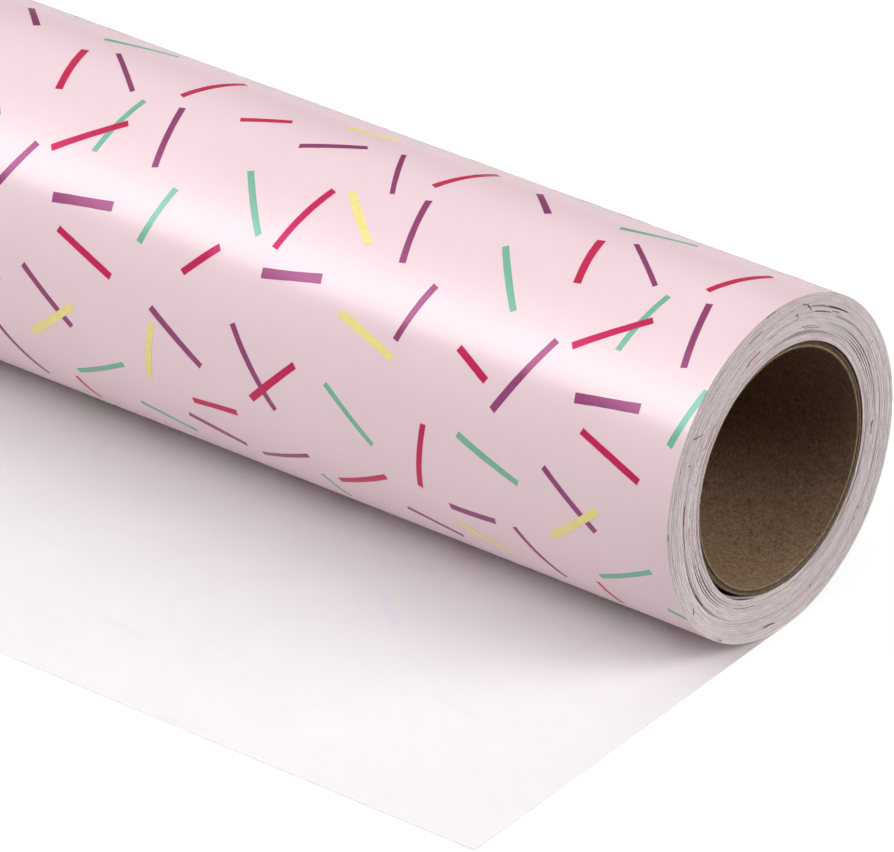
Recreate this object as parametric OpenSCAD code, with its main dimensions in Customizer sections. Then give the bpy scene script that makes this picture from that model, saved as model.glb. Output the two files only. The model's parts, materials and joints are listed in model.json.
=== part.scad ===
// Roll of gift wrapping paper on a spiral-wound board core, lying on a flat surface
// with its loose end paid out. The origin is on the core's axis at mid-length.
// +X runs along the roll, the loose end lies towards -Y, and +Z is up.

/* [Paper] */
// Width of the paper, which is the length of the roll
paper_w = 762; // [500:1:1000]
// Thickness of one layer of the paper
paper_t = 0.1; // [0.08:0.01:0.2]
// Outside diameter of the wound paper
roll_d = 58.1; // [50:0.1:90]
// Length of the loose end, from the line that the roll rests on to the free edge
loose_l = 79; // [40:0.1:150]

/* [Core] */
// Inside diameter of the core
core_id = 40; // [30:0.5:42]
// Thickness of one ply of kraft board
ply_t = 0.4; // [0.3:0.05:0.6]
// How far each end of the core sits inside the end of the roll
core_recess = 0.35; // [0:0.05:3]
// Looseness of the first turn of paper around the core, as a gap all round
core_gap = 0.3; // [0.1:0.05:0.6]

/* [Paying out] */
// Gap between the roll and the leaf that it rests on
rest_gap = 0.03; // [0.02:0.01:0.2]
// Gap between the two leaves that slide apart as the roll unwinds
leaf_gap = 0.02; // [0.02:0.01:0.2]
// How far the upper leaf stops short of the free edge
leaf_setback = 2; // [0.5:0.5:6]

/* [Hidden] */
$fn = 180;

core_r = core_id / 2;
core_l = paper_w - 2 * core_recess;
ply_count = 3;
roll_r = roll_d / 2;
wound_bore_r = core_r + ply_count * ply_t + core_gap;
upper_leaf_z = -roll_r - rest_gap - paper_t;
lower_leaf_z = upper_leaf_z - leaf_gap - paper_t;
through = 1;

board = "#b08a64";
printed = "#e3c4cf";
paper_back = "#f3eef1";

// A round tube along X, centred on the origin
module tube_x(r_in, r_out, length) {
    rotate([0, 90, 0])
        difference() {
            cylinder(r = r_out, h = length, center = true);
            cylinder(r = r_in, h = length + 2 * through, center = true);
        }
}

// One ply of the core, counted outwards from the bore
module ply(n) {
    tube_x(core_r + n * ply_t, core_r + (n + 1) * ply_t, core_l);
}

// A flat leaf of paper across the whole width, from the resting line towards -Y
module leaf(length, z) {
    translate([-paper_w / 2, -length, z])
        cube([paper_w, length, paper_t]);
}

module core_inner_ply() {
    color(board) ply(0);
}

module core_middle_ply() {
    color(board) ply(1);
}

module core_outer_ply() {
    color(board) ply(2);
}

// All the turns that are still on the roll, as one sleeve
module wound_paper() {
    color(printed) tube_x(wound_bore_r, roll_r, paper_w);
}

// The stretch of the sheet next to the roll, which stays under it as the roll turns
module paid_out_sheet() {
    color(paper_back) leaf(loose_l - leaf_setback, upper_leaf_z);
}

// The free end of the sheet, which is pulled out across the surface
module loose_end() {
    color(paper_back) leaf(loose_l, lower_leaf_z);
}

core_inner_ply();
core_middle_ply();
core_outer_ply();
wound_paper();
paid_out_sheet();
loose_end();
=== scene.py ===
import itertools
import json
import math

import bpy
import numpy as np
from mathutils import Matrix, Vector


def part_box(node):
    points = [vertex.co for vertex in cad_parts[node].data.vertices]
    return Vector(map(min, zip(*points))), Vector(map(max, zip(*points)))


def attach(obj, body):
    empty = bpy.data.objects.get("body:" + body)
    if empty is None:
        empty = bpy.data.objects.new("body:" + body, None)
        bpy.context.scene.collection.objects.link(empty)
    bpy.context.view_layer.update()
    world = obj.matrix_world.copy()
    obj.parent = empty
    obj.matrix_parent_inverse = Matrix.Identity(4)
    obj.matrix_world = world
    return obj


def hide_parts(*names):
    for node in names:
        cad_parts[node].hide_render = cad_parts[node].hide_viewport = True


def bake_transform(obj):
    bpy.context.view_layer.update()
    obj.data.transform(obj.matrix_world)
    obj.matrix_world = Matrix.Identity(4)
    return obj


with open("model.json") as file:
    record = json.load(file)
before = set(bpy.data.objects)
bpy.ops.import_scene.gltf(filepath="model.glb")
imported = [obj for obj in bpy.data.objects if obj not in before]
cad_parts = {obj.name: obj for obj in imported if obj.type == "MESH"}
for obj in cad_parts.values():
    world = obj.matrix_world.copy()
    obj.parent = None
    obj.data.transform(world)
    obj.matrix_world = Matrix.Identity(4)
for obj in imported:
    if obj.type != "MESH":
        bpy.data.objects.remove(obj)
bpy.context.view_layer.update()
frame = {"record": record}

# ---------------------------------------------------------------- sizes, in metres, from the frame

MM = 0.001
MOUNTS = {m["name"]: m for m in frame["record"]["mounts"]}
BORE_R = MOUNTS["core_bore"]["dims"]["r_mm"] * MM
CORE_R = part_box("core_outer_ply")[1].z
CORE_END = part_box("core_inner_ply")[1].x
ROLL_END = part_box("wound_paper")[1].x
SHEET_LOW, SHEET_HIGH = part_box("loose_end")
FLOOR_Z = SHEET_LOW.z
FREE_EDGE = -SHEET_LOW.y
PAPER_T = SHEET_HIGH.z - SHEET_LOW.z

ROLL_R = -FLOOR_Z                       # outside of the last turn where it leaves the roll
TURN = 2 * math.pi
GIRTH = TURN * ROLL_R
TURNS = 62                              # layers of paper between the core and the outside
PLIES = 3                               # layers of board in the core
CREASE = 40                             # degrees between two faces that makes their shared edge sharp

SEEDS = {"looseness": 7, "right_edge": 21, "left_edge": 22, "right_tones": 31, "left_tones": 32,
         "fray": 33, "core": 40, "print": 100}


def rng(seed):
    return np.random.default_rng(seed)


# ---------------------------------------------------------------- mesh helpers

def sweep(name, strips, materials, slots=None, closed=False):
    """A mesh made of closed skins. Each strip is an array (stations, corners, 3) of cross-sections along
    a path; its corners run out along one side and back along the other. slots gives the material of each
    quad, as an array (stations, corners) for each strip."""
    verts, faces, indices = [], [], []
    first = 0
    for number, strip in enumerate(strips):
        n, c = strip.shape[:2]
        steps = n if closed else n - 1
        i, j = np.meshgrid(np.arange(steps), np.arange(c), indexing="ij")
        i2, j2 = (i + 1) % n, (j + 1) % c
        quads = np.stack([i * c + j, i * c + j2, i2 * c + j2, i2 * c + j], -1).reshape(-1, 4)
        chosen = np.zeros(quads.shape[0], int)
        if slots is not None:
            chosen = np.asarray(slots[number])[:steps].reshape(-1)
        if not closed:
            k = np.arange(c // 2 - 1)
            near = np.stack([k, c - 1 - k, c - 2 - k, k + 1], -1)
            far = near[:, ::-1] + (n - 1) * c
            quads = np.concatenate([quads, near, far])
            chosen = np.concatenate([chosen, np.full(2 * len(k), chosen[-1])])
        verts.append(strip.reshape(-1, 3))
        faces.append(quads + first)
        indices.append(chosen)
        first += n * c
    verts, faces = np.concatenate(verts), np.concatenate(faces)
    a, b, c, d = (verts[faces[:, k]] for k in range(4))
    volume = (np.cross(a, b) * c).sum() + (np.cross(a, c) * d).sum()
    if volume < 0:
        faces = faces[:, ::-1]
    mesh = bpy.data.meshes.new(name)
    mesh.from_pydata(verts.tolist(), [], faces.tolist())
    for material in materials:
        mesh.materials.append(material)
    mesh.polygons.foreach_set("material_index", np.concatenate(indices).astype(np.int32))
    mesh.polygons.foreach_set("use_smooth", np.ones(len(faces), bool))
    mesh.update()
    mesh.set_sharp_from_angle(angle=math.radians(CREASE))
    piece = bpy.data.objects.new(name, mesh)
    bpy.context.scene.collection.objects.link(piece)
    return piece


def around(x, r, phi):
    """Points on the roll: phi turns from straight down, towards the loose end and up over the top."""
    x, r, phi = np.broadcast_arrays(x, r, phi)
    return np.stack([x, -r * np.sin(phi), -r * np.cos(phi)], -1)


def window(phi, centre, width):
    """A smooth bump of height 1 around a centre. The centre and width are in degrees, phi in radians."""
    off = (np.degrees(phi) - centre + 180) % 360 - 180
    return np.exp(-(off / width) ** 2)


# ---------------------------------------------------------------- material helpers

class Shader:
    """A Principled material with the few node groups that the pieces share."""

    def __init__(self, name, **values):
        self.material = bpy.data.materials.new(name)
        self.material.use_nodes = True
        self.tree = self.material.node_tree
        self.bsdf = self.tree.nodes["Principled BSDF"]
        self.coords = self.add("ShaderNodeTexCoord").outputs["Object"]
        for socket, value in values.items():
            self.bsdf.inputs[socket.replace("_", " ")].default_value = value

    def add(self, kind, **props):
        node = self.tree.nodes.new(kind)
        for key, value in props.items():
            setattr(node, key, value)
        return node

    def join(self, source, target):
        self.tree.links.new(source, target)

    def scaled(self, size):
        """Object coordinates stretched by size in each direction."""
        node = self.add("ShaderNodeMapping")
        node.inputs["Scale"].default_value = size
        self.join(self.coords, node.inputs["Vector"])
        return node.outputs["Vector"]

    def noise(self, per_metre, detail=2.0, rough=0.5, stretch=(1, 1, 1)):
        node = self.add("ShaderNodeTexNoise")
        node.inputs["Scale"].default_value = per_metre
        node.inputs["Detail"].default_value = detail
        node.inputs["Roughness"].default_value = rough
        self.join(self.scaled(stretch), node.inputs["Vector"])
        return node.outputs["Fac"]

    def ramp(self, source, low, high, start=0.0, end=1.0):
        """source between low and high becomes start to end."""
        node = self.add("ShaderNodeMapRange")
        node.inputs["From Min"].default_value = low
        node.inputs["From Max"].default_value = high
        node.inputs["To Min"].default_value = start
        node.inputs["To Max"].default_value = end
        self.join(source, node.inputs["Value"])
        return node.outputs["Result"]

    def math(self, operation, a, b=None):
        node = self.add("ShaderNodeMath", operation=operation)
        for socket, value in zip(node.inputs, (a, b)):
            if isinstance(value, (int, float)):
                socket.default_value = value
            elif value is not None:
                self.join(value, socket)
        return node.outputs[0]

    def mix(self, amount, a, b):
        """Colour a where amount is 0 and b where it is 1."""
        node = self.add("ShaderNodeMix", data_type="RGBA")
        self.join(amount, node.inputs[0])
        for socket, value in ((node.inputs[6], a), (node.inputs[7], b)):
            if isinstance(value, tuple):
                socket.default_value = (*value, 1)
            else:
                self.join(value, socket)
        return node.outputs[2]

    def colour(self, source):
        self.join(source, self.bsdf.inputs["Base Color"])

    def roughness(self, source):
        self.join(source, self.bsdf.inputs["Roughness"])

    def bump(self, source, height, strength=1.0):
        node = self.add("ShaderNodeBump")
        node.inputs["Distance"].default_value = height
        node.inputs["Strength"].default_value = strength
        self.join(source, node.inputs["Height"])
        self.join(node.outputs["Normal"], self.bsdf.inputs["Normal"])


# ---------------------------------------------------------------- materials

PINK = (0.785, 0.568, 0.622)
WHITE_BACK = (0.79, 0.77, 0.777)


def pearl_paper():
    """The printed face: pale pink with a satin pearl coat, a faint cloudiness and a fine tooth."""
    s = Shader("pearl_paper", IOR=2.1)
    cloud = s.noise(45, detail=3)
    tooth = s.noise(2600, detail=2, rough=0.6)
    base = s.mix(s.ramp(cloud, 0.35, 0.65), PINK, tuple(k * 1.035 for k in PINK))
    s.colour(s.mix(s.ramp(tooth, 0.3, 0.7, 0, 0.25), base, (0.81, 0.60, 0.655)))
    s.roughness(s.ramp(tooth, 0.3, 0.7, 0.235, 0.265))
    s.bump(tooth, 0.0025 * MM, 0.6)
    return s.material


def ink(name, colour, shine):
    """Printing ink on the satin coat, a little uneven along a stroke."""
    s = Shader(name, IOR=2.1, Specular_Tint=(*shine, 1))
    patch = s.noise(900, detail=3, rough=0.6)
    lighter = tuple(min(1, k * 1.1 + 0.005) for k in colour)
    s.colour(s.mix(s.ramp(patch, 0.3, 0.75), colour, lighter))
    s.roughness(s.ramp(patch, 0.3, 0.7, 0.19, 0.23))
    s.bump(patch, 0.002 * MM, 0.5)
    return s.material


def show_through(s, base):
    """Faint ghosts of the print on the white back: one short soft stroke in each cell of a scatter."""
    cells = s.add("ShaderNodeTexVoronoi", voronoi_dimensions="2D")
    cells.inputs["Scale"].default_value = 68
    cells.inputs["Randomness"].default_value = 0.8
    s.join(s.coords, cells.inputs["Vector"])
    flat = s.add("ShaderNodeMapping")
    s.join(s.coords, flat.inputs["Vector"])
    offset = s.add("ShaderNodeVectorMath", operation="SUBTRACT")
    s.join(flat.outputs[0], offset.inputs[0])
    s.join(cells.outputs["Position"], offset.inputs[1])
    turn = s.add("ShaderNodeVectorRotate", rotation_type="Z_AXIS")
    s.join(offset.outputs[0], turn.inputs["Vector"])
    tone = s.add("ShaderNodeSeparateColor")
    s.join(cells.outputs["Color"], tone.inputs[0])
    s.join(s.math("MULTIPLY", tone.outputs[0], math.pi), turn.inputs["Angle"])
    along = s.add("ShaderNodeSeparateXYZ")
    s.join(turn.outputs[0], along.inputs[0])
    length = s.ramp(s.math("ABSOLUTE", along.outputs[0]), 4.5 * MM, 6 * MM, 1, 0)
    width = s.ramp(s.math("ABSOLUTE", along.outputs[1]), 0.4 * MM, 1.3 * MM, 1, 0)
    ghost = s.math("MULTIPLY", length, width)
    depth = s.math("MULTIPLY", ghost, s.ramp(tone.outputs[1], 0, 1, 0.25, 1))
    ghost_tint = s.mix(tone.outputs[2], (0.74, 0.72, 0.83), (0.78, 0.77, 0.76))
    return s.mix(s.math("MULTIPLY", depth, 0.42), base, ghost_tint)


def paper_back():
    """The uncoated white back, with fibres, a cloudy formation and the print showing through."""
    s = Shader("paper_back", Specular_IOR_Level=0.3)
    cloud = s.noise(90, detail=4, rough=0.6)
    fibre = s.noise(1100, detail=3, rough=0.65)
    base = s.mix(s.ramp(cloud, 0.3, 0.7), WHITE_BACK, tuple(k * 1.03 for k in WHITE_BACK))
    base = s.mix(s.ramp(fibre, 0.45, 0.8, 0, 0.35), base, (0.775, 0.735, 0.75))
    s.colour(show_through(s, base))
    s.roughness(s.ramp(fibre, 0.3, 0.7, 0.72, 0.9))
    s.bump(fibre, 0.03 * MM, 0.5)
    return s.material


def cut_edge(name, colour):
    """The guillotined edge of the turns: one tone of the stack, rough and fibrous. It also makes the
    inner turns' faces, whose dark colour is painted shade.
    """
    s = Shader(name, Base_Color=(*colour, 1), Specular_IOR_Level=0.2)
    fibre = s.noise(3200, detail=3, rough=0.7)
    s.roughness(s.ramp(fibre, 0.3, 0.7, 0.8, 0.98))
    s.bump(fibre, 0.12 * MM, 1.0)
    return s.material


def edge_ink(name, colour):
    """A stroke of print cut through at the edge of a turn."""
    s = Shader(name, Base_Color=(*colour, 1))
    s.roughness(s.ramp(s.noise(4000), 0.3, 0.7, 0.5, 0.8))
    return s.material


def kraft(name, light, dark, speck=1.0):
    """Recycled kraft board: mottled brown with pale fibres and dark flecks. speck scales the flecks."""
    s = Shader(name, Specular_IOR_Level=0.25)
    mottle = s.noise(900, detail=5, rough=0.75, stretch=(0.7, 1, 1))
    grain = s.noise(3000, detail=2, rough=0.6, stretch=(1, 0.6, 0.6))
    fleck = s.noise(1900, detail=2, rough=0.5)
    base = s.mix(s.ramp(mottle, 0.35, 0.65), dark, light)
    base = s.mix(s.ramp(grain, 0.5, 0.72, 0, 0.6), base, tuple(min(1, k * 1.6) for k in light))
    base = s.mix(s.ramp(grain, 0.45, 0.28, 0, 0.6), base, tuple(k * 0.6 for k in dark))
    s.colour(s.mix(s.ramp(fleck, 0.68, 0.74, 0, 0.8 * speck), base, tuple(k * 0.3 for k in dark)))
    s.roughness(s.ramp(mottle, 0.3, 0.7, 0.8, 0.95))
    s.bump(mottle, 0.08 * MM, 0.6)
    return s.material


# The inks: their colours, and how far each one tints the shine of the pearl coat under it
INK_COLOURS = {
    "crimson": (0.46, 0.003, 0.045),
    "plum": (0.19, 0.009, 0.085),
    "mint": (0.125, 0.37, 0.235),
    "yellow": (0.80, 0.67, 0.215),
}
INK_SHINE = {
    "crimson": (0.92, 0.13, 0.40),
    "plum": (0.96, 0.42, 0.74),
    "mint": (0.60, 0.95, 0.90),
    "yellow": (1.0, 0.93, 0.60),
}

# ---------------------------------------------------------------- the print

REPEAT = 109.6 * MM                     # the pattern's repeat, across the web and along it
COLUMNS, ROWS = range(-1, 8), range(-1, 3)      # the repeats across and along that may reach the paper
SKEW = 0.5 * MM                         # how far up the web each repeat across it has crept
STROKE_W = 1.2 * MM
STROKE_STEP = 1.0 * MM
STROKE_WAVER = 0.12 * MM                # the most that a stroke bows or its ends slant
OVERSHOOT = 4 * MM                      # how far outside the stretch drawn a stroke's middle may lie
SLIVER = 0.2 * MM                       # a stroke narrower than this at the paper's end is left out there
INK_SINK = 0.010 * MM
INK_LIFT = {"mint": 0.018 * MM, "plum": 0.026 * MM, "crimson": 0.034 * MM, "yellow": 0.042 * MM}

# One repeat of the confetti print, in mm: the two ends of each stroke, as (x from the roll's end,
# distance along the web from the nip) twice, and where a stroke isn't STROKE_W wide, its width.
STROKES = {
    "crimson": [
        (-36, 93.5, -32.5, 82.5, 1.4), (-12.5, 90.5, -8.5, 102.5), (-26.5, 72, -16, 81, 1.3),
        (-19, 60, -6.5, 55.5), (-46, 65.5, -39, 62, 1.3), (-49.5, 51.5, -51, 39, 1.1),
        (-70.5, 31.5, -58.5, 38, 1.1), (-99, 38.5, -89.5, 39.5), (-85.5, 44, -76.5, 53, 1.3),
        (-102, 61, -96.5, 67, 1.3), (-83, 83, -86.5, 70, 1.3), (-69, 91.5, -65, 103.5),
        (-109, 90.5, -101.5, 95, 1.1), (-17.5, 31, -15.5, 25, 0.8), (-20, 115.5, -9, 111.5),
        (-60, 117.5, -52, 125.5), (-95, 111.5, -92, 122.5),
    ],
    "plum": [
        (-55, 101.5, -48.5, 95.5), (-31, 96, -20.5, 87.5, 0.9), (-80, 97.5, -73.5, 86.5, 0.9),
        (-95.5, 89.5, -86, 95.5), (-67, 88, -63, 75), (-10, 88, -6, 75), (-36.5, 58, -29.5, 72, 1.3),
        (-55, 73.5, -58, 63), (-22, 64.5, -10, 66.5, 1.7), (-87, 65.5, -75.5, 68, 1.7),
        (-107, 53.5, -96, 46.5), (-90, 56, -80.5, 43.5, 1.1), (-25, 52, -14.5, 44, 1.1),
        (-45.5, 37, -36, 37.5, 1.3), (-32, 38, -25.5, 27.5, 0.9), (-101.5, 34, -90.5, 31),
        (-87.5, 30, -75.5, 35.5, 0.9), (-56.5, 31, -46.5, 28, 1.1), (-44, 108.5, -36, 116.5),
        (-76, 110.5, -65, 113.5), (-16, 120.5, -5, 126.5), (-88, 124.5, -78, 119.5),
    ],
    "mint": [
        (-37, 99.5, -25, 104.5), (-17, 86.5, -18.5, 74, 1.1), (-48.5, 84.5, -39.5, 74),
        (-99, 81, -90.5, 71), (0, 73, -2.5, 62.5), (-70, 52, -60, 44, 1.0), (-42.5, 52, -30, 47.5),
        (-16, 33.5, -4, 40, 1.0), (-113, 31.5, -102.5, 28.5, 1.1), (-51, 107.5, -47, 119.5),
        (-31, 124.5, -19, 118.5), (-108, 122.5, -99, 127.5), (-74.5, 31, -71.5, 25, 0.9),
    ],
    "yellow": [
        (-80, 84, -70.5, 76, 1.4), (-70, 64, -57.5, 60, 1.4), (-106.5, 51, -108, 40, 1.3),
        (-24, 39.5, -14, 48, 1.4), (-45.5, 33, -35.5, 29.5, 1.2), (-94, 100, -85, 102.5, 1.3),
        (-72, 120.5, -66, 111.5), (-35, 112.5, -27, 121.5),
    ],
}


def stroke_outline(stroke, dice):
    """The two edges of one stroke, as arrays (stations, 2) of x and distance along the web, in metres.
    Its sides waver a little, it bows slightly and its ends are cut at a slant."""
    start, end = np.array(stroke[:2]) * MM, np.array(stroke[2:4]) * MM
    width = stroke[4] * MM if len(stroke) > 4 else STROKE_W
    length = np.linalg.norm(end - start)
    direction = (end - start) / length
    across = np.array([-direction[1], direction[0]])
    t = np.linspace(0, 1, max(4, int(length / STROKE_STEP)))[:, None]
    bow = dice.uniform(-1, 1) * STROKE_WAVER * 4 * t * (1 - t)
    edges = []
    for side in (1, -1):
        waver = 1 + 0.05 * np.sin(TURN * (0.8 * t + dice.uniform()))
        waver = waver + 0.015 * np.sin(TURN * (3.3 * t + dice.uniform()))
        slant = side * dice.uniform(-1, 1) * STROKE_WAVER * (1 - 2 * t)
        edges.append(start + direction * (t * length + slant) + across * (bow + side * width / 2 * waver))
    return edges


def strokes_between(colour, low, high):
    """Every copy of one colour's strokes on the stretch of web from low to high."""
    for number, stroke in enumerate(STROKES[colour]):
        left, right = stroke_outline(stroke, rng(SEEDS["print"] * len(colour) + number))
        for column, row in itertools.product(COLUMNS, ROWS):
            shift = np.array([ROLL_END - column * REPEAT, row * REPEAT + column * SKEW])
            both = np.stack([left + shift, right + shift])
            x, along = both.mean((0, 1))
            if abs(x) > ROLL_END + OVERSHOOT or not low - OVERSHOOT < along < high + OVERSHOOT:
                continue
            both[..., 0] = both[..., 0].clip(-ROLL_END, ROLL_END)
            inside = ((both[..., 1] > low) & (both[..., 1] < high)).all(0)
            inside &= np.ptp(both, 0).sum(-1) > SLIVER
            if inside.sum() > 1:
                yield both[:, inside]


def ink_film(name, colour, low, high, place, material):
    """One colour's strokes on a stretch of web as thin films. place(x, along, lift) puts them there."""
    strips = []
    for left, right in strokes_between(colour, low, high):
        rows = [left, (left + right) / 2, right]
        corners = [place(*row.T, INK_LIFT[colour]) for row in rows]
        corners += [place(*row.T, -INK_SINK) for row in reversed(rows)]
        strips.append(np.stack(corners, 1))
    piece = sweep(name, strips, [material])
    return piece


# ---------------------------------------------------------------- the winding

FIRST_GAP = 0.04 * MM                   # the first turn's gap to the core
SPRUNG = [(46, 13, 0.62 * MM), (62, 15, 0.25 * MM)]     # where it has sprung clear: angle, spread and gap
LOOSENESS = 0.35                        # how much the turns differ in how tightly they are wound
# Bands of looser turns: first turn, last turn, angle, spread, how much looser than the rest
LOOSE_BANDS = [
    (0, 1, 33, 9, 24), (7, 8, 50, 14, 9), (10, 11, 56, 18, 12), (14, 15, 58, 16, 9),
    (17, 18, 60, 14, 9), (22, 23, 52, 10, 6), (29, 31, 58, 22, 6), (3, 4, 65, 30, 5),
    (14, 15, 240, 24, 9), (17, 18, 244, 20, 9), (20, 21, 240, 22, 9), (23, 24, 240, 26, 9),
    (27, 28, 250, 12, 7), (33, 35, 228, 14, 5), (43, 44, 212, 10, 8), (37, 38, 206, 8, 8),
    (6, 7, 270, 40, 4), (9, 12, 200, 18, 4), (3, 5, 150, 30, 3),
]


def first_turn(phi):
    return CORE_R + FIRST_GAP + sum(gap * window(phi, angle, spread) for angle, spread, gap in SPRUNG)


def turn_radii(phi):
    """For each turn and angle, the radius of the paper's inner face at the turn's start and what one turn
    adds to it, as arrays (turns, angles)."""
    dice = rng(SEEDS["looseness"])
    loose = np.exp(dice.normal(0, LOOSENESS, (TURNS, 1)))
    for order in (1, 2, 3):
        swing = dice.uniform(0, LOOSENESS, (TURNS, 1))
        loose = loose * (1 + swing * np.cos(order * phi + dice.uniform(0, TURN, (TURNS, 1))))
    for first, last, angle, spread, factor in LOOSE_BANDS:
        loose[first:last] *= 1 + factor * window(phi, angle, spread)
    loose[-1] = 1
    spare = ROLL_R - PAPER_T - first_turn(phi) - TURNS * PAPER_T
    added = PAPER_T + spare * loose / loose.sum(0)
    return first_turn(phi) + added.cumsum(0) - added, added


# Turns whose edge stands in a little: turn, angle, spread and depth in mm
GROOVES = [
    (38, 50, 5, 0.10), (31, 58, 18, 0.14), (26, 62, 9, 0.08), (23, 51, 9, 0.12), (18, 60, 13, 0.14),
    (15, 56, 15, 0.16), (11, 54, 18, 0.18), (8, 47, 11, 0.14), (33, 22, 14, 0.08), (12, 24, 9, 0.14),
    (44, 203, 4, 0.14), (43, 214, 7, 0.14), (37, 208, 7, 0.14), (34, 231, 9, 0.10), (30, 246, 7, 0.09),
    (27, 250, 9, 0.12), (23, 240, 20, 0.16), (20, 242, 18, 0.14), (17, 243, 17, 0.14),
    (14, 241, 17, 0.14), (17, 199, 6, 0.10), (12, 202, 8, 0.09), (10, 268, 16, 0.10),
    (6, 300, 16, 0.12), (3, 325, 20, 0.12), (29, 92, 12, 0.10), (46, 166, 6, 0.08), (54, 148, 5, 0.08),
    (5, 118, 9, 0.10), (60, 220, 12, 0.07),
]


BUNDLE_SLIP = 0.019 * MM                # how far a bundle of turns has slipped along the roll
TURN_SLIP = 0.012 * MM                  # how far a single turn has
EDGE_WAVE = 0.02 * MM                   # the most that a turn's edge waves
FRAY = 0.015 * MM                       # how uneven the cut is from one step to the next


def edge_steps(seed):
    """How far each turn's edge stands in or out at an end of the roll: a mean for each turn, in bundles
    that slipped together, and a slow wave round it."""
    dice = rng(seed)
    mean = np.zeros(TURNS + 1)
    turn = 0
    while turn <= TURNS:
        bundle = dice.integers(2, 7)
        mean[turn:turn + bundle] = dice.normal(0, 1) * BUNDLE_SLIP
        turn += bundle
    mean += dice.normal(0, 1, TURNS + 1) * TURN_SLIP
    wave = dice.uniform(0, 1, (TURNS + 1, 3)) * EDGE_WAVE
    phase = dice.uniform(0, TURN, (TURNS + 1, 3))
    return mean, wave, phase


def edge_offset(steps, turn, part, phi):
    """The edge's offset at an angle phi, part of the way from one turn to the next."""
    mean, wave, phase = steps
    values = []
    for t in (turn, turn + 1):
        swing = sum(wave[t, k] * np.cos((k + 1) * phi + phase[t, k]) for k in range(3))
        values.append(mean[t] + swing)
    return values[0] * (1 - part) + values[1] * part


def groove_depth(turn, phi):
    """How far the edge stands in at each step of the winding, for the turns that GROOVES names."""
    total = 0
    for at, angle, spread, depth in GROOVES:
        total = total + depth * MM * window(phi, angle, spread) * (turn == at)
    return total


def spiral_steps(first, last, per_turn):
    """Along the web from turn first to turn last: turn, part of the turn, angle and inner radius."""
    k = np.arange(first * per_turn, last * per_turn + 1)
    turn = np.minimum(k // per_turn, last - 1)
    part = (k - turn * per_turn) / per_turn
    start, added = turn_radii(TURN * np.arange(per_turn) / per_turn)
    radius = start[turn, k % per_turn] + part * added[turn, k % per_turn]
    return turn, part, TURN * part, radius


RIGHT_EDGE, LEFT_EDGE = edge_steps(SEEDS["right_edge"]), edge_steps(SEEDS["left_edge"])

# Strokes cut through at the roll's open end: colour, turn, how many turns, angle where it starts and ends
CUT_STROKES = [
    ("crimson", 30, 1, 54, 62), ("crimson", 19, 1, 83, 91.5), ("crimson", 29, 2, 94, 102),
    ("mint", 59, 2, 91.5, 94.5), ("crimson", 21, 2, 160.5, 169.5), ("crimson", 13, 1, 123, 133),
    ("crimson", 7, 1, 133, 142), ("rust", 46, 2, 163.5, 171), ("rust", 54, 1, 144, 151),
    ("rust", 45, 1, 138, 145), ("mint", 59, 2, 173, 179.5), ("soot", 27, 1, 175, 179),
    ("crimson", 37, 1, 201, 212), ("rust", 44, 1, 200, 205), ("crimson", 43, 1, 209, 220),
    ("crimson", 39, 1, 211, 217), ("rust", 18, 1, 193, 203), ("rust", 15, 1, 196, 205),
    ("rust", 31, 1, 189, 192), ("soot", 47, 2, 6.5, 10), ("soot", 18, 2, 276.5, 281),
    ("mint", 12, 1, 116, 121), ("mint", 22, 1, 121, 126), ("mint", 58, 1, 33, 36.5),
    ("mint", 60, 1, 34, 36), ("rust", 12, 1, 18, 33), ("rust", 8, 1, 295, 299),
    ("rust", 46, 1, 187, 189), ("soot", 43, 1, 86, 87),
]
# Ink smeared by the blade: first turn, last turn, angle, spread
SMEARS = [
    (3, 14, 130, 4), (37, 42, 215, 2.5), (31, 35, 62, 2), (24, 34, 98, 2), (14, 30, 165, 3),
    (34, 42, 191, 2),
]
EDGE_TONES = {
    "edge_pale": (0.94, 0.84, 0.83),
    "edge_warm": (0.92, 0.82, 0.79),
    "edge_grey": (0.84, 0.77, 0.75),
    "edge_rose": (0.90, 0.70, 0.73),
}
EDGE_INK_COLOURS = {
    "crimson": (0.38, 0.055, 0.09),
    "plum": (0.14, 0.03, 0.06),
    "mint": (0.22, 0.36, 0.27),
    "rust": (0.36, 0.20, 0.20),
    "soot": (0.09, 0.065, 0.06),
}
EDGE_SHARES = (0.40, 0.66, 0.82)        # the tones' shares of the edge, added up

# The winding's materials: the two faces of the paper, whose dark colour is painted shade between the
# turns, then the tones, then the inks
FACE, BACK_FACE, FIRST_TONE = 0, 1, 2
FIRST_INK = FIRST_TONE + len(EDGE_TONES)
INNER_STEPS = 144                       # steps in each of the inner turns


def edge_slots(seed, turn, phi):
    """The tone of the cut edge at each step, 0 to 3: a mottle of soft patches, over streaks that run a
    little way round each turn."""
    dice = rng(seed)
    value = dice.normal(0, 0.5, TURNS)[turn]
    for order in (1, 2, 5, 13):
        swing = dice.normal(0, 0.4, TURNS)[turn]
        value = value + swing * np.cos(order * phi + dice.uniform(0, TURN, TURNS)[turn])
    for order in (3, 8, 14, 21, 29, 38):
        slope, phase = dice.normal(0, 0.5), dice.uniform(0, TURN)
        value = value + 0.45 * np.cos(order * phi + slope * turn + phase)
    levels = np.quantile(value, EDGE_SHARES)
    for low, high, angle, spread in SMEARS:
        value = value + 3 * window(phi, angle, spread) * ((turn >= low) & (turn < high))
    return np.searchsorted(levels, value)


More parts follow.
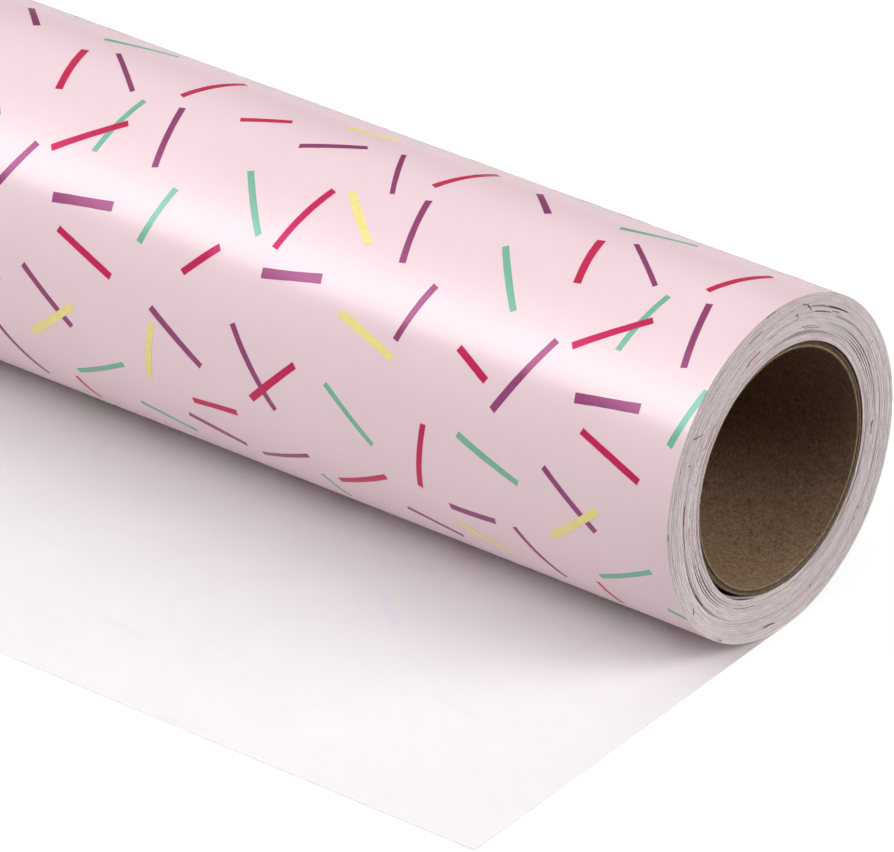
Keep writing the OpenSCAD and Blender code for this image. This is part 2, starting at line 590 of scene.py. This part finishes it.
def inner_turns(materials):
    """All the turns but the last as one real ribbon of paper, wound on a spiral and cut at both ends."""
    turn, part, phi, inner = spiral_steps(0, TURNS - 1, INNER_STEPS)
    fray = rng(SEEDS["fray"]).normal(0, FRAY, (2, len(phi)))
    groove = groove_depth(turn, phi)
    right = ROLL_END + edge_offset(RIGHT_EDGE, turn, part, phi) + fray[0] - groove
    left = -ROLL_END + edge_offset(LEFT_EDGE, turn, part, phi) + fray[1] + groove
    outer = inner + PAPER_T
    corners = [around(right, outer, phi), around(left, outer, phi),
               around(left, inner, phi), around(right, inner, phi)]
    # the paper's two faces take the dark materials that paint the shade between the turns
    slots = np.full((len(phi), 4), FACE)
    slots[:, 2] = BACK_FACE
    slots[:, 1] = FIRST_TONE + edge_slots(SEEDS["left_tones"], turn, phi)
    slots[:, 3] = FIRST_TONE + edge_slots(SEEDS["right_tones"], turn, phi)
    degrees = np.degrees(phi)
    for colour, at, count, low, high in CUT_STROKES:
        slot = FIRST_INK + list(EDGE_INK_COLOURS).index(colour)
        hit = (turn >= at) & (turn < at + count) & (degrees >= low) & (degrees <= high)
        slots[hit, 3] = slot
        # the far end isn't seen in the photo, so it gets the same strokes in mirrored places
        hit = (turn == TURNS - 1 - at) & (degrees >= 360 - high) & (degrees <= 360 - low)
        slots[hit, 1] = slot
    return sweep("wound_turns", [np.stack(corners, 1)], materials, [slots])


# ---------------------------------------------------------------- the outside turn

OUTER_STEPS = 240                       # steps round the last turn
OUTER_STATIONS = 65                     # stations across it
RIPPLE = 0.05 * MM                      # the height of its swells


def outside_radius(phi):
    """Outside radius of the last turn, from the front of the nip round to where it leaves the roll."""
    added = turn_radii(np.atleast_1d(phi))[1][-1]
    return ROLL_R - (1 - np.atleast_1d(phi) / TURN) * added


def ripple(x, phi):
    """The last turn isn't drawn tight: shallow swells stand off the roll, none of them near the floor."""
    swell = 0.5 + 0.25 * np.sin(31 * x + 2.1 * phi) + 0.25 * np.sin(57 * x - 1.3 * phi + 1.0)
    return RIPPLE * swell * np.sin(phi / 2) ** 2


def on_roll(x, along, lift):
    """A place on the printed outside of the roll. along is counted from the nip, up the loose end's side
    and over."""
    phi = along / ROLL_R
    return around(x, outside_radius(phi) + ripple(x, phi) + lift, phi)


def outer_turn(materials):
    """The last full turn of paper, the one whose print is seen. The materials are its printed face, its
    back and its edge."""
    turn, part, phi, inner = spiral_steps(TURNS - 1, TURNS, OUTER_STEPS)
    right = ROLL_END + edge_offset(RIGHT_EDGE, turn, part, phi)
    left = -ROLL_END + edge_offset(LEFT_EDGE, turn, part, phi)
    t = np.linspace(0, 1, OUTER_STATIONS)
    x = left[:, None] + (right - left)[:, None] * t
    angle = phi[:, None]
    swollen = inner[:, None] + ripple(x, angle)
    outside = around(x, swollen + PAPER_T, angle)
    inside = around(x, swollen, angle)[:, ::-1]
    strip = np.concatenate([outside, inside], 1)
    slots = np.zeros(strip.shape[:2], int)
    slots[:, len(t):] = 1
    slots[:, [len(t) - 1, -1]] = 2
    return sweep("outer_turn", [strip], materials, [slots])


# ---------------------------------------------------------------- the sheet that lies on the surface

COCKLE = 0.10 * MM                      # the height of the sheet's waves at its free edge
SHEET_ROWS, SHEET_STATIONS = 41, 97     # rows from the nip to the free edge, and stations across


def sheet_height(x, y):
    """The sheet's underside above the surface: flat at the nip, with a shallow cockle further out."""
    away = np.clip(-y / FREE_EDGE, 0, 1)
    cockle = 0.5 + 0.3 * np.sin(27 * x + 40 * y) + 0.2 * np.sin(61 * x - 25 * y + 2)
    return COCKLE * cockle * away ** 2


def under_sheet(x, along, lift):
    """A place on the sheet's printed underside."""
    y = GIRTH - along
    return np.stack([x, y, FLOOR_Z + sheet_height(x, y) - lift], -1)


def loose_sheet(materials):
    """The paper paid out of the roll, printed face down, from the resting line to the free edge. The
    materials are its top, its printed face and its edge."""
    rows = np.linspace(0, -FREE_EDGE, SHEET_ROWS)
    x, y = np.meshgrid(np.linspace(-ROLL_END, ROLL_END, SHEET_STATIONS), rows)
    low = FLOOR_Z + sheet_height(x, y)
    top = np.stack([x, y, low + PAPER_T], -1)
    under = np.stack([x, y, low], -1)[:, ::-1]
    strip = np.concatenate([top, under], 1)
    n = x.shape[1]
    slots = np.zeros(strip.shape[:2], int)
    slots[:, n:] = 1
    slots[:, [n - 1, 2 * n - 1]] = 2
    return sweep("loose_sheet", [strip], materials, [slots])


# ---------------------------------------------------------------- the core

CORE_STEPS = 192
CORE_SKEW = 0.35 * MM                   # how far the askew cut stands out at its furthest point
SKEW_AT = 310                           # the angle of that point
END_RADIUS = 0.09 * MM                  # the softening of a ply's ends
END_BAND = 0.25 * MM                    # the length at a ply's ends that has the rim's material and moves
RAGGED = 0.03 * MM                      # the most that each wave of the cut stands out


def askew(phi):
    """How far the open end of the core stands out at each angle."""
    return CORE_SKEW * np.cos(phi - math.radians(SKEW_AT))


def core_ply(name, node, inner, outer, inset, seed, materials):
    """One ply of the core, with softened and slightly ragged ends. inset is how far its ends sit inside
    those of the core."""
    dice = rng(seed)
    phi = np.arange(CORE_STEPS)[:, None] * TURN / CORE_STEPS
    waves = [dice.uniform(0, 1) * np.sin(k * phi + dice.uniform(0, TURN)) for k in (2, 3, 7, 13, 29)]
    ragged = RAGGED * sum(waves)
    band = CORE_END - inset - END_BAND
    arc = np.radians([90, 60, 30, 0])
    end = CORE_END - inset - END_RADIUS + END_RADIUS * np.cos(arc)
    rise = END_RADIUS * (1 - np.sin(arc))
    x = np.concatenate([[-band, 0, band], end, end[::-1], [band, 0, -band], -end, -end[::-1]])
    r = np.concatenate([[outer] * 3, outer - rise, inner + rise[::-1],
                        [inner] * 3, inner + rise, outer - rise[::-1]])
    tip = np.abs(x) > band + END_BAND / 5
    moved = np.sign(x) * ragged + np.where(x > 0, askew(phi), 0)
    strip = around(x + moved, r, phi)
    slots = np.zeros(strip.shape[:2], int)
    slots[:, tip] = 1
    piece = sweep(name, [strip], materials, [slots], closed=True)
    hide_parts(node)
    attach(piece, "roll")
    return piece


# ---------------------------------------------------------------- frayed bits at the cut end

# Small torn fibres on the open end: colour, then angle and turn at the root and at the tip
BURRS = [
    ("soot", 57.3, 50, 59.2, 45), ("soot", 127, 47, 129.7, 31), ("soot", 117.7, 39, 118, 36),
    ("plum", 197, 48, 199.5, 40), ("crimson", 191, 40, 192.4, 34), ("rust", 194, 51, 197.5, 48),
    ("soot", 311, 36, 311.6, 32), ("soot", 345.8, 37, 346.2, 33), ("rust", 315, 36, 317, 33),
    ("soot", 276.6, 20, 279, 18), ("rust", 244.6, 44, 244, 39), ("soot", 6.8, 48, 9, 47),
    ("crimson", 160.6, 22, 163, 23), ("rust", 244, 15, 244.8, 13),
]
BURR_ROOT = 0.05 * MM                   # how far a fibre's root stands off the end face
BURR_LIFT = 0.16 * MM                   # how much further its middle does
BURR_W = 0.20 * MM
BURR_T = 0.06 * MM
BURR_STATIONS = 7


def edge_burrs(materials):
    """Torn fibres that curl off the end face."""
    strips, slots = [], []
    for colour, first_angle, first, last_angle, last in BURRS:
        t = np.linspace(0, 1, BURR_STATIONS)
        phi = np.radians(first_angle + (last_angle - first_angle) * t)
        start = turn_radii(phi[[0, -1]])[0]
        r = start[first, 0] * (1 - t) + start[last, 1] * t
        way = np.stack([np.gradient(phi) * r, np.gradient(r)])
        way = way / np.linalg.norm(way, axis=0)
        half = BURR_W / 2 * (1.1 - 0.8 * t)
        x = ROLL_END + BURR_ROOT + BURR_LIFT * np.sin(math.pi * (0.15 + 0.7 * t))
        sides = [(phi - k * half * way[1] / r, r + k * half * way[0]) for k in (1, -1)]
        (phi_a, r_a), (phi_b, r_b) = sides
        back = x - BURR_T
        corners = [around(x, r_a, phi_a), around(x, r_b, phi_b),
                   around(back, r_b, phi_b), around(back, r_a, phi_a)]
        strips.append(np.stack(corners, 1))
        slots.append(np.full((len(t), 4), list(EDGE_INK_COLOURS).index(colour)))
    return sweep("edge_burrs", strips, materials, slots)


# ---------------------------------------------------------------- camera, lights and floor

# The camera's place about the middle of the roll's open end, in roll radii where it is a length
VIEW = {"azimuth": 40.92, "elevation": 31.21, "roll": -3.15, "distance": 49.42, "right": -1.7883,
        "up": 0.3305}
LENS = 368.7

# The studio's light: its radiance at heights given in degrees round the roll's axis, from the level on
# the loose end's side over the top. The low light and the key light stand in front, towards the roll's
# far end, and the back light beyond its open end, overhead and behind it.
LOW_LIGHT = [(0, 1.0), (30, 0.95), (40, 0)]
KEY_LIGHT = [
    (0, 0), (36, 0), (41, 3.2), (58, 3.15), (72, 1.9), (96, 0.95), (135, 0.66), (150, 0.4), (180, 0.2),
]
BACK_LIGHT = [(0, 0), (80, 0), (92, 9.2), (118, 10.0), (140, 4.5), (180, 1.0)]
# Between which x of the direction towards the light each one fades in, and the back light also out again
KEY_SPREAD = (0.47, -0.1)
BACK_SPREAD = (0.6, 0.75)
BACK_CUT = (0.97, 0.87)
LOW_SPREAD = (-0.3, -0.5)
FILL = 0.01                             # radiance from everywhere else

FLOOR_HALF = 4                          # half the side of the floor, in metres
FLOOR_GLOW, FLOOR_TONE = 0.88, 0.16     # the seen floor's own light, and its colour
FLOOR_DROP, CARD_DROP = 0.06 * MM, 0.07 * MM
CARD_TONES = (0.76, 0.16)               # the card's colour, and the colour past the roll's open end
CARD_FADE = 0.004                       # the width of the change between them
CARD_BEHIND = 0.7                       # the share of the card's colour that is left behind the roll


def make_camera():
    az, el, roll = (math.radians(VIEW[k]) for k in ("azimuth", "elevation", "roll"))
    back = Vector((math.sin(az) * math.cos(el), -math.cos(az) * math.cos(el), math.sin(el)))
    right = Vector((0, 0, 1)).cross(back).normalized()
    up = back.cross(right)
    target = Vector((ROLL_END, 0, 0)) + ROLL_R * (VIEW["right"] * right + VIEW["up"] * up)
    turned = Matrix.Rotation(roll, 3, back)
    data = bpy.data.cameras.new("camera")
    data.lens = LENS
    camera = bpy.data.objects.new("camera", data)
    axes = Matrix((turned @ right, turned @ up, back)).transposed()
    camera.matrix_world = Matrix.Translation(target + ROLL_R * VIEW["distance"] * back) @ axes.to_4x4()
    bpy.context.scene.collection.objects.link(camera)
    bpy.context.scene.camera = camera


def floor_plane(s, drop):
    """A large level square in the shader s, drop below the surface that the roll lies on."""
    mesh = bpy.data.meshes.new(s.material.name)
    half, z = FLOOR_HALF, FLOOR_Z - drop
    corners = [(-half, -half, z), (half, -half, z), (half, half, z), (-half, half, z)]
    mesh.from_pydata(corners, [], [(0, 1, 2, 3)])
    mesh.materials.append(s.material)
    floor = bpy.data.objects.new(s.material.name, mesh)
    bpy.context.scene.collection.objects.link(floor)
    return floor


def make_floor():
    """The camera sees a nearly white floor. The light thrown back on the roll is that of a white card
    that lies under and before it, and of a darker floor beyond its open end."""
    white = Shader("floor", Roughness=0.9, Specular_IOR_Level=0.1, Base_Color=(*[FLOOR_TONE] * 3, 1),
                   Emission_Color=(1, 1, 1, 1), Emission_Strength=FLOOR_GLOW)
    seen = floor_plane(white, FLOOR_DROP)
    for kind in ("diffuse", "glossy", "shadow", "transmission"):
        setattr(seen, "visible_" + kind, False)
    card = Shader("floor_bounce", Roughness=0.9, Specular_IOR_Level=0.1)
    axes = card.add("ShaderNodeSeparateXYZ")
    card.join(card.coords, axes.inputs[0])
    past_end = card.ramp(axes.outputs["X"], ROLL_END, ROLL_END + CARD_FADE, *CARD_TONES)
    behind = card.ramp(axes.outputs["Y"], ROLL_R, 3 * ROLL_R, 1, CARD_BEHIND)
    card.colour(card.math("MULTIPLY", past_end, behind))
    floor_plane(card, CARD_DROP).visible_camera = False


def make_light():
    world = bpy.data.worlds.new("world")
    world.use_nodes = True
    tree = world.node_tree

    def math_node(operation, a, b):
        node = tree.nodes.new("ShaderNodeMath")
        node.operation = operation
        for socket, value in zip(node.inputs, (a, b)):
            if isinstance(value, (int, float)):
                socket.default_value = value
            else:
                tree.links.new(value, socket)
        return node.outputs[0]

    def soft_light(stops, *spreads):
        """The radiance given by stops, fading in along the roll's axis over each of the spreads."""
        brightest = max(value for _, value in stops)
        ramp = tree.nodes.new("ShaderNodeValToRGB")
        elements = ramp.color_ramp.elements
        elements.remove(elements[1])
        for number, (degrees, value) in enumerate(stops):
            stop = elements.new(degrees / 180) if number else elements[0]
            stop.color = (*[value / brightest] * 3, 1)
        tree.links.new(height, ramp.inputs["Fac"])
        light = math_node("MULTIPLY", ramp.outputs["Color"], brightest)
        for none, whole in spreads:
            fade = tree.nodes.new("ShaderNodeMapRange")
            fade.interpolation_type = "SMOOTHSTEP"
            fade.inputs["From Min"].default_value = none
            fade.inputs["From Max"].default_value = whole
            tree.links.new(axes.outputs["X"], fade.inputs["Value"])
            light = math_node("MULTIPLY", light, fade.outputs[0])
        return light

    axes = tree.nodes.new("ShaderNodeSeparateXYZ")
    tree.links.new(tree.nodes.new("ShaderNodeTexCoord").outputs["Generated"], axes.inputs[0])
    forward = math_node("MULTIPLY", axes.outputs["Y"], -1)
    height = math_node("DIVIDE", math_node("ARCTAN2", axes.outputs["Z"], forward), math.pi)
    lights = math_node("ADD", soft_light(KEY_LIGHT, KEY_SPREAD), soft_light(LOW_LIGHT, LOW_SPREAD))
    lights = math_node("ADD", lights, soft_light(BACK_LIGHT, BACK_SPREAD, BACK_CUT))
    background = tree.nodes["Background"]
    background.inputs["Color"].default_value = (1, 1, 1, 1)
    tree.links.new(math_node("ADD", lights, FILL), background.inputs["Strength"])
    bpy.context.scene.world = world
    bpy.context.scene.view_settings.view_transform = "Standard"


# ---------------------------------------------------------------- the object

make_camera()
make_light()
make_floor()

PEARL, BACK = pearl_paper(), paper_back()
EDGES = [cut_edge(name, colour) for name, colour in EDGE_TONES.items()]
EDGE_INKS = [edge_ink("edge_" + name, colour) for name, colour in EDGE_INK_COLOURS.items()]

# the faces of the inner turns are plain, as mostly only their cut edges are seen, and painted dark as the
# shade in the narrow gaps between the turns, where they show
PAINTED_SHADE_FACE = cut_edge("painted_shade_face", (0.30, 0.18, 0.20))
PAINTED_SHADE_BACK = cut_edge("painted_shade_back", (0.28, 0.22, 0.21))
turns = inner_turns([PAINTED_SHADE_FACE, PAINTED_SHADE_BACK, *EDGES, *EDGE_INKS])
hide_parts("wound_paper")
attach(turns, "roll")

outside = outer_turn([PEARL, BACK, EDGES[0]])
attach(outside, "roll")

burrs = edge_burrs(EDGE_INKS)
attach(burrs, "roll")

sheet = loose_sheet([BACK, PEARL, EDGES[1]])
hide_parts("paid_out_sheet", "loose_end")

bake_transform(sheet)
for colour, tint in INK_COLOURS.items():
    material = ink("ink_" + colour, tint, INK_SHINE[colour])
    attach(ink_film("print_" + colour, colour, 0, GIRTH, on_roll, material), "roll")
    film = ink_film("sheet_print_" + colour, colour, GIRTH, GIRTH + FREE_EDGE, under_sheet, material)
    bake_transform(film)

PLY = (CORE_R - BORE_R) / PLIES
BORE_WALL = kraft("bore_wall", (0.355, 0.232, 0.145), (0.215, 0.129, 0.077))
# each ply's name, how far its ends sit inside the core's, and its rim's light and dark colours; besides
# the board's own tone, the inner rim is painted lighter as a highlight on its edge and the recessed
# middle rim is painted darker as shade
CORE_PLIES = [
    ("inner", 0, (0.30, 0.215, 0.14), (0.20, 0.135, 0.085)),
    ("middle", 0.22 * MM, (0.14, 0.09, 0.05), (0.09, 0.055, 0.03)),
    ("outer", 0.06 * MM, (0.22, 0.15, 0.095), (0.15, 0.10, 0.06)),
]
for number, (word, inset, light, dark) in enumerate(CORE_PLIES):
    rim = kraft("rim_" + word, light, dark, speck=0.5)
    inner = BORE_R + number * PLY
    core_ply(word + "_ply", f"core_{word}_ply", inner, inner + PLY, inset, SEEDS["core"] + number,
             [BORE_WALL, rim])
